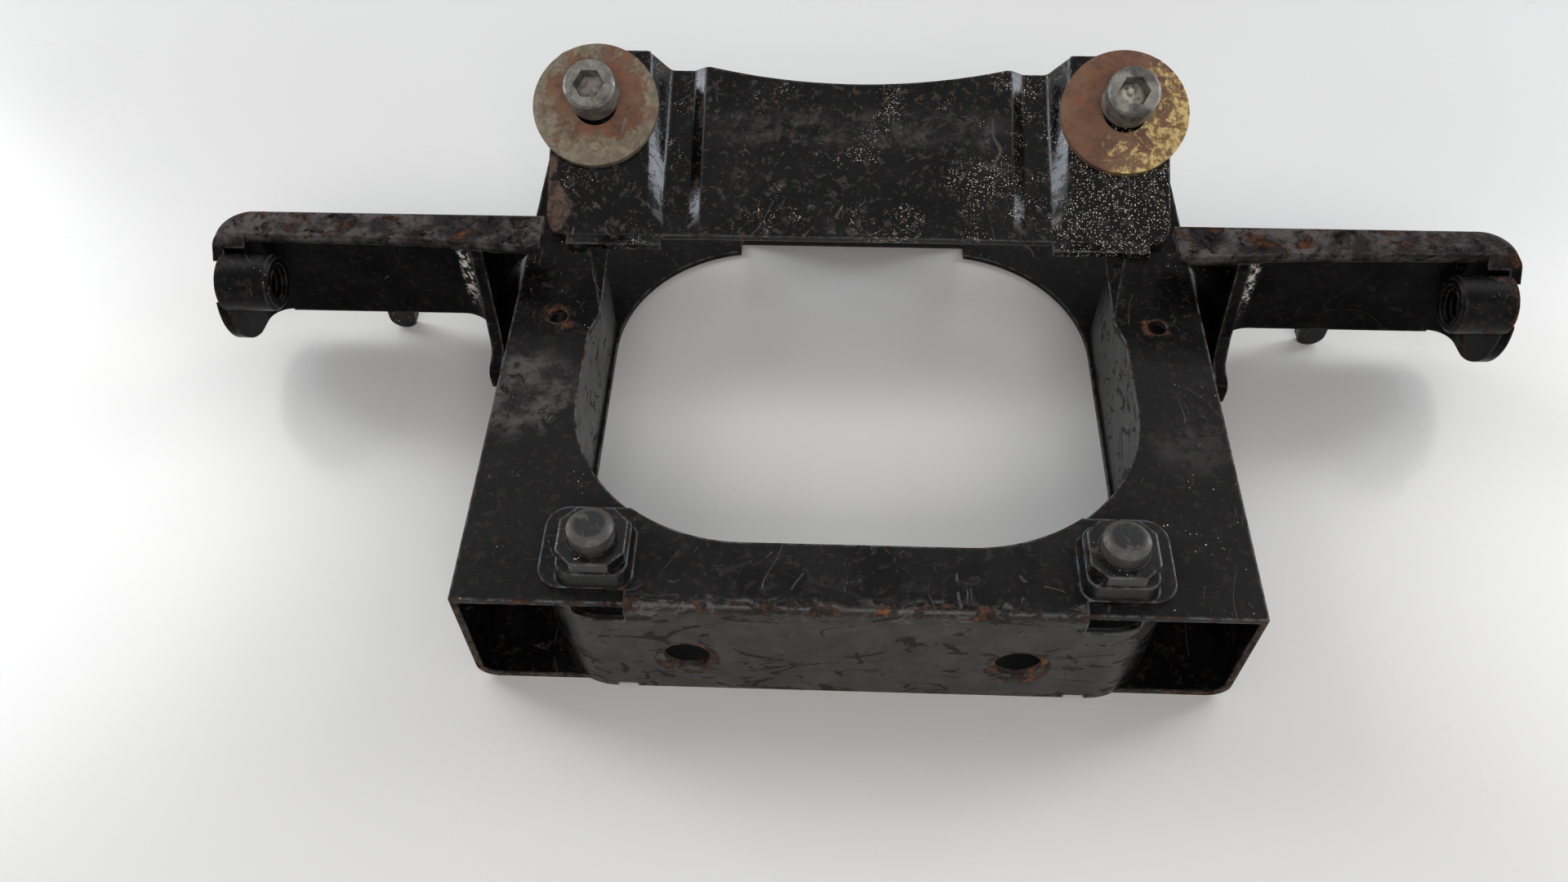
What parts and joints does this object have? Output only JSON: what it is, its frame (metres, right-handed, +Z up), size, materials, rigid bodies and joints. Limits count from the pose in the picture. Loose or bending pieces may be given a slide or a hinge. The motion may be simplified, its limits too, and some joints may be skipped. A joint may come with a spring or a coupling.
{
  "type": "grab bar bracket",
  "caption": "Welded sheet steel bracket: U-shaped box frame with side arms ending in threaded lugs, a sloping rear mounting plate and a drilled front wall.",
  "frame": {"origin": "on the surface that the bracket lies on, under the middle of its overall length and depth", "axes": "+X to the right along the arms, +Y from the drilled front wall to the sloping rear plate, +Z up; the bracket is symmetric about X = 0"},
  "size_m": [0.316, 0.1522, 0.0664],
  "materials": {
    "black_paint": "worn gloss black paint with scuffs and rust spots",
    "dark_steel": "weathered bare steel with rust in the corners",
    "plated_steel": "dull zinc plating with brown rust"
  },
  "bodies": {
    "root": {"lower_shell": "black_paint", "upper_plate": "black_paint", "front_cross_member": "black_paint", "rear_mounting_plate": "black_paint", "left_arm": "black_paint", "right_arm": "black_paint", "left_brace": "black_paint", "right_brace": "black_paint", "arm_thread_bosses": "dark_steel", "nut_plates": "dark_steel", "stud_bolts": "dark_steel", "socket_screws": "dark_steel", "weld_nuts": "dark_steel", "washers": "plated_steel"}
  },
  "joints": []
}
